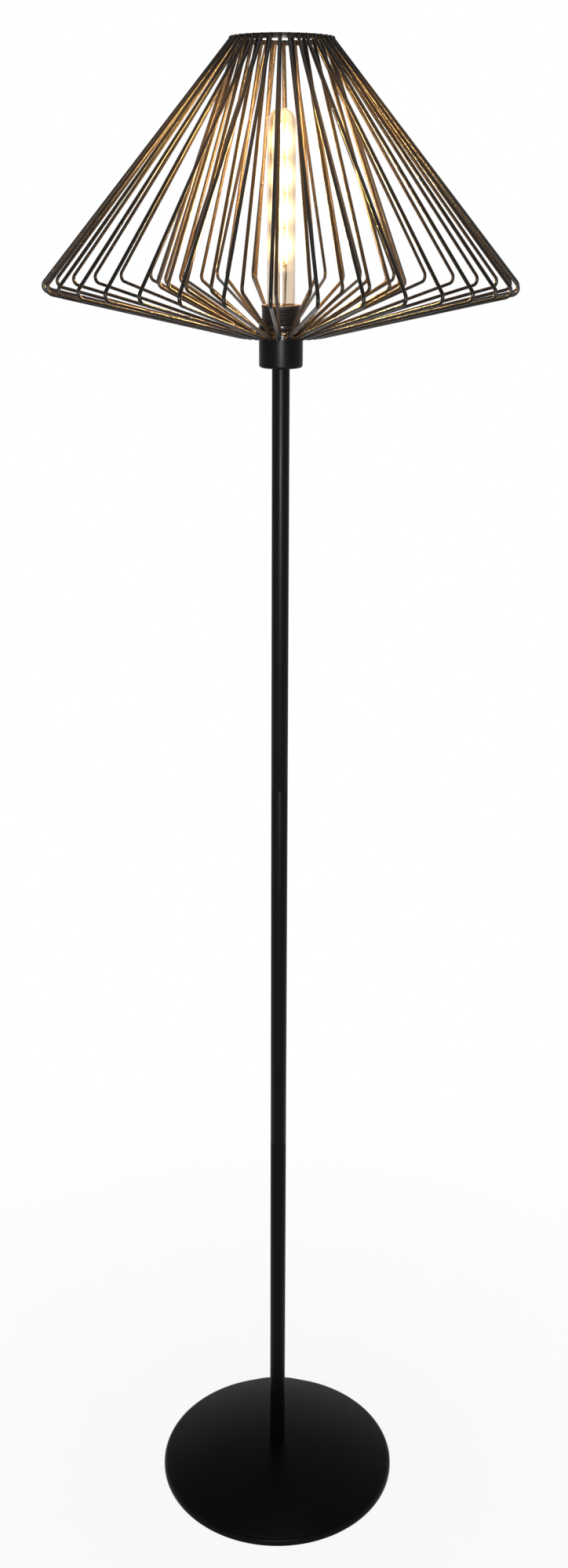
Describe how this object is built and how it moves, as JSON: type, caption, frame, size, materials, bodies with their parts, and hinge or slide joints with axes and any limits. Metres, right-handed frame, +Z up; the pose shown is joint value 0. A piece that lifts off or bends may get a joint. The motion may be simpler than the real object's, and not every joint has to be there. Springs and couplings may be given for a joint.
{
  "type": "floor lamp",
  "caption": "Floor lamp with a double wire cage shade clamped on a lampholder with a tubular bulb, on a slim sectional pole and a weighted dome base.",
  "frame": {"origin": "on the floor, on the pole's axis, under the middle of the base", "axes": "+Z up along the pole; -Y is the front; the cord's bush is at +Y; +X is the lamp's right as seen from the front"},
  "size_m": [0.4688, 0.4688, 1.65],
  "materials": {
    "black_paint": "satin black powder coat",
    "cage_paint": "satin black powder coat with a warm tone",
    "pad_rubber": "matt black sheet",
    "cast_iron": "as cast",
    "black_plastic": "matt moulded black",
    "black_phenolic": "moulded black with a cut thread",
    "ring_phenolic": "glossy moulded black",
    "zinc_steel": "zinc plated",
    "white_ceramic": "glazed white",
    "brass": "pressed brass",
    "bulb_glass": "clear",
    "cap_nickel": "nickel plated",
    "insulator_glass": "black vitrified",
    "filament_coating": "warm yellow coating"
  },
  "bodies": {
    "stand": {"base_cover": "black_paint", "base_pad": "pad_rubber", "base_weight": "cast_iron", "cord_bush": "black_plastic", "foot_stud": "zinc_steel", "foot_washer": "zinc_steel", "foot_nut": "zinc_steel", "lower_tube": "black_paint", "middle_tube": "black_paint", "upper_tube": "black_paint", "tube_bushes": "zinc_steel", "joint_studs": "zinc_steel", "holder_nipple": "zinc_steel", "holder_cup": "black_paint", "cup_nut": "zinc_steel", "lampholder_cap": "black_phenolic", "lampholder_skirt": "black_phenolic", "contact_block": "white_ceramic", "terminal_screws": "brass", "screw_shell": "brass", "centre_contact": "brass", "side_contact": "brass"},
    "cage": {"hub_plate": "cage_paint", "top_ring": "cage_paint", "outer_wires": "cage_paint", "inner_wires": "cage_paint"},
    "shade_ring": {"shade_ring": "ring_phenolic"},
    "bulb": {"bulb_glass": "bulb_glass", "bulb_cap": "cap_nickel", "bulb_insulator": "insulator_glass", "bulb_tip": "cap_nickel", "bulb_stem": "bulb_glass", "filaments": "filament_coating", "filament_frame": "zinc_steel"}
  },
  "joints": [
    {"name": "cage_turn", "type": "hinge", "parent": "stand", "child": "cage", "pos_m": [0, 0, 1.3766], "axis": [0, 0, 1], "continuous": true},
    {"name": "shade_ring_unscrew", "type": "slide", "parent": "stand", "child": "shade_ring", "axis": [0, 0, 1], "range_m": [0, 0.027]},
    {"name": "bulb_unscrew", "type": "slide", "parent": "stand", "child": "bulb", "axis": [0, 0, 1], "range_m": [0, 0.036]}
  ]
}
